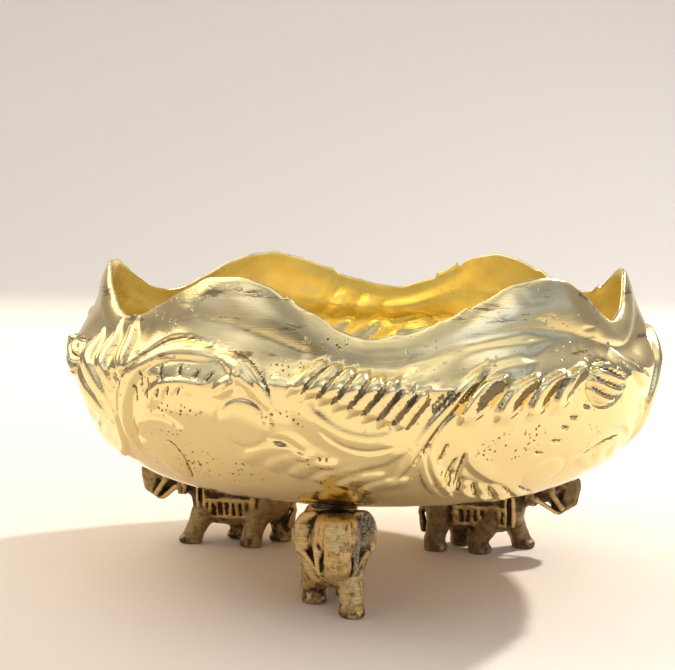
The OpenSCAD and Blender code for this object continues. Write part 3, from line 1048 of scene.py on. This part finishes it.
# Bright windows and dark corners that the polished wall reflects: where they are, how
# narrow their middle and how wide their edge is as a cosine, and how bright they are.
ROOM_GLOWS = (
    ((-0.8, -0.7, 0.42), 0.98, 0.86, 1.2),
    ((0.62, -0.8, 0.5), 0.985, 0.93, 1.9),
    ((-0.5, -0.86, 0.12), 0.99, 0.95, -0.5),
    ((0.4, -0.9, 0.1), 0.99, 0.92, -0.4),
)
COOL_LIGHT = (0.36, 0.45, 0.74)
HORIZON_LIGHT = (0.56, 0.52, 0.48)
CAMERA_PLACE = (0, -0.407, 0.1116)
CAMERA_LENS_MM, SENSOR_MM = 76.4, 36
CAMERA_TURNS = (("Z", 1.1), ("X", 83.6), ("Z", 0.85))    # degrees: yaw, tilt and roll


def build_stage():
    """A plain pale floor that sweeps up into a plain backdrop."""
    sweep = [(SWEEP_Y + SWEEP_R * math.sin(a), SWEEP_R - SWEEP_R * math.cos(a))
             for a in np.linspace(0, math.pi / 2, 16)]
    rows = [(-FLOOR_REACH, 0.0)] + sweep + [(SWEEP_Y + SWEEP_R, BACKDROP_Z)]
    verts = [(x, y, z + FLOOR_Z) for y, z in rows for x in (-FLOOR_REACH, FLOOR_REACH)]
    faces = [(2 * i, 2 * i + 1, 2 * i + 3, 2 * i + 2) for i in range(len(rows) - 1)]
    stage = make_mesh("sweep", verts, faces, {})
    stage.data.materials.append(new_material("pale_floor", 0.0, pale_floor))


def area_light(name, place, size, watts, colour):
    """A rectangular lamp that faces the middle of the feet."""
    data = bpy.data.lights.new(name, "AREA")
    data.shape = "RECTANGLE"
    data.size, data.size_y = size
    data.energy = watts
    data.color = colour
    lamp = new_object(name, data)
    lamp.location = place
    aim = Vector((0, 0, 0.04)) - Vector(place)
    lamp.rotation_euler = aim.to_track_quat("-Z", "Y").to_euler()


def room_colour(g, toward):
    """The room's colour by height, cooler to the right, with a pale horizon."""
    x, _, z = g.add("SeparateXYZ", {0: toward})
    cloud = g.noise(g.stretch(toward, (1, 1, 0.5)), 2.2, 1)
    height = g.plus(z, g.between(cloud, 0.3, 0.7, -0.08, 0.08))
    ramp = g.add("ValToRGB", {"Fac": height})["Color"]
    stops = ramp.node.color_ramp.elements
    for place, _ in ROOM_STOPS[1:-1]:
        stops.new(place)
    for stop, (place, colour) in zip(stops, ROOM_STOPS):
        stop.position = place
        stop.color = colour + (1,)
    cool = g.times(g.between(x, 0.05, 0.6, 0, 0.65), g.between(z, 0.4, 0.6, 1, 0))
    cool = g.times(cool, g.between(z, 0.08, 0.2))
    return g.blend(g.between(z, 0.035, 0.075, 1, 0), g.blend(cool, ramp, COOL_LIGHT), HORIZON_LIGHT)


def room_strength(g, toward):
    """The room's brightness: uneven, with soft windows and dark corners."""
    strength = g.between(g.noise(toward, 3.1, 1), 0.35, 0.65, 0.8, 1.7)
    for place, narrow, wide, power in ROOM_GLOWS:
        sockets = {0: toward, 1: Vector(place).normalized()}
        near = g.add("VectorMath", sockets, operation="DOT_PRODUCT")["Value"]
        strength = g.plus(strength, g.between(near, wide, narrow, 0, power))
    return strength


def build_light():
    """A small key lamp, a large warm window lamp, and the room's soft light."""
    area_light("key", (0.75, 0.7, 0.95), (0.08, 0.08), 17, (1.0, 0.98, 0.95))
    area_light("window", (-0.9, 0.55, 1.2), (2.0, 1.2), 15, (1.0, 0.88, 0.7))
    world = bpy.data.worlds.new("studio")
    world.use_nodes = True
    g = Graph(world.node_tree)
    toward = g.add("TexCoord")["Generated"]
    background = g.nodes["Background"].inputs
    g.put(room_colour(g, toward), background["Color"])
    g.put(room_strength(g, toward), background["Strength"])
    bpy.context.scene.world = world
    bpy.context.scene.view_settings.view_transform = "Standard"


def build_camera():
    """The place, turn and lens that the object is seen with."""
    data = bpy.data.cameras.new("camera")
    data.lens, data.sensor_width = CAMERA_LENS_MM, SENSOR_MM
    turn = Matrix.Translation(CAMERA_PLACE)
    for axis, degrees in CAMERA_TURNS:
        turn = turn @ Matrix.Rotation(math.radians(degrees), 4, axis)
    camera = new_object("camera", data)
    camera.matrix_world = turn
    bpy.context.scene.camera = camera


# ---- assembly

def settle(obj, material, node):
    """Gives a piece its material and material slot, attaches it to its body, and hides the CAD node's part
    that it replaces.
    """
    obj.data.materials.append(material)
    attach(obj, "root")
    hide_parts(node)


def build_object():
    brass = new_material("polished_brass", 1.0, polished_brass)
    antique = new_material("antique_brass", 1.0, antique_brass)
    solder = new_material("solder", 1.0, grey_solder)
    settle(build_bowl(), brass, "bowl")
    casting = elephant_casting()
    for name, shade_depth in SHADE_DEPTHS.items():
        elephant = build_elephant(name, casting, name == "front", shade_depth)
        settle(elephant, antique, name + "_elephant_foot")
        settle(build_solder(name), solder, name + "_solder_joint")


build_camera()
build_stage()
build_light()
build_object()

bpy.context.view_layer.update()
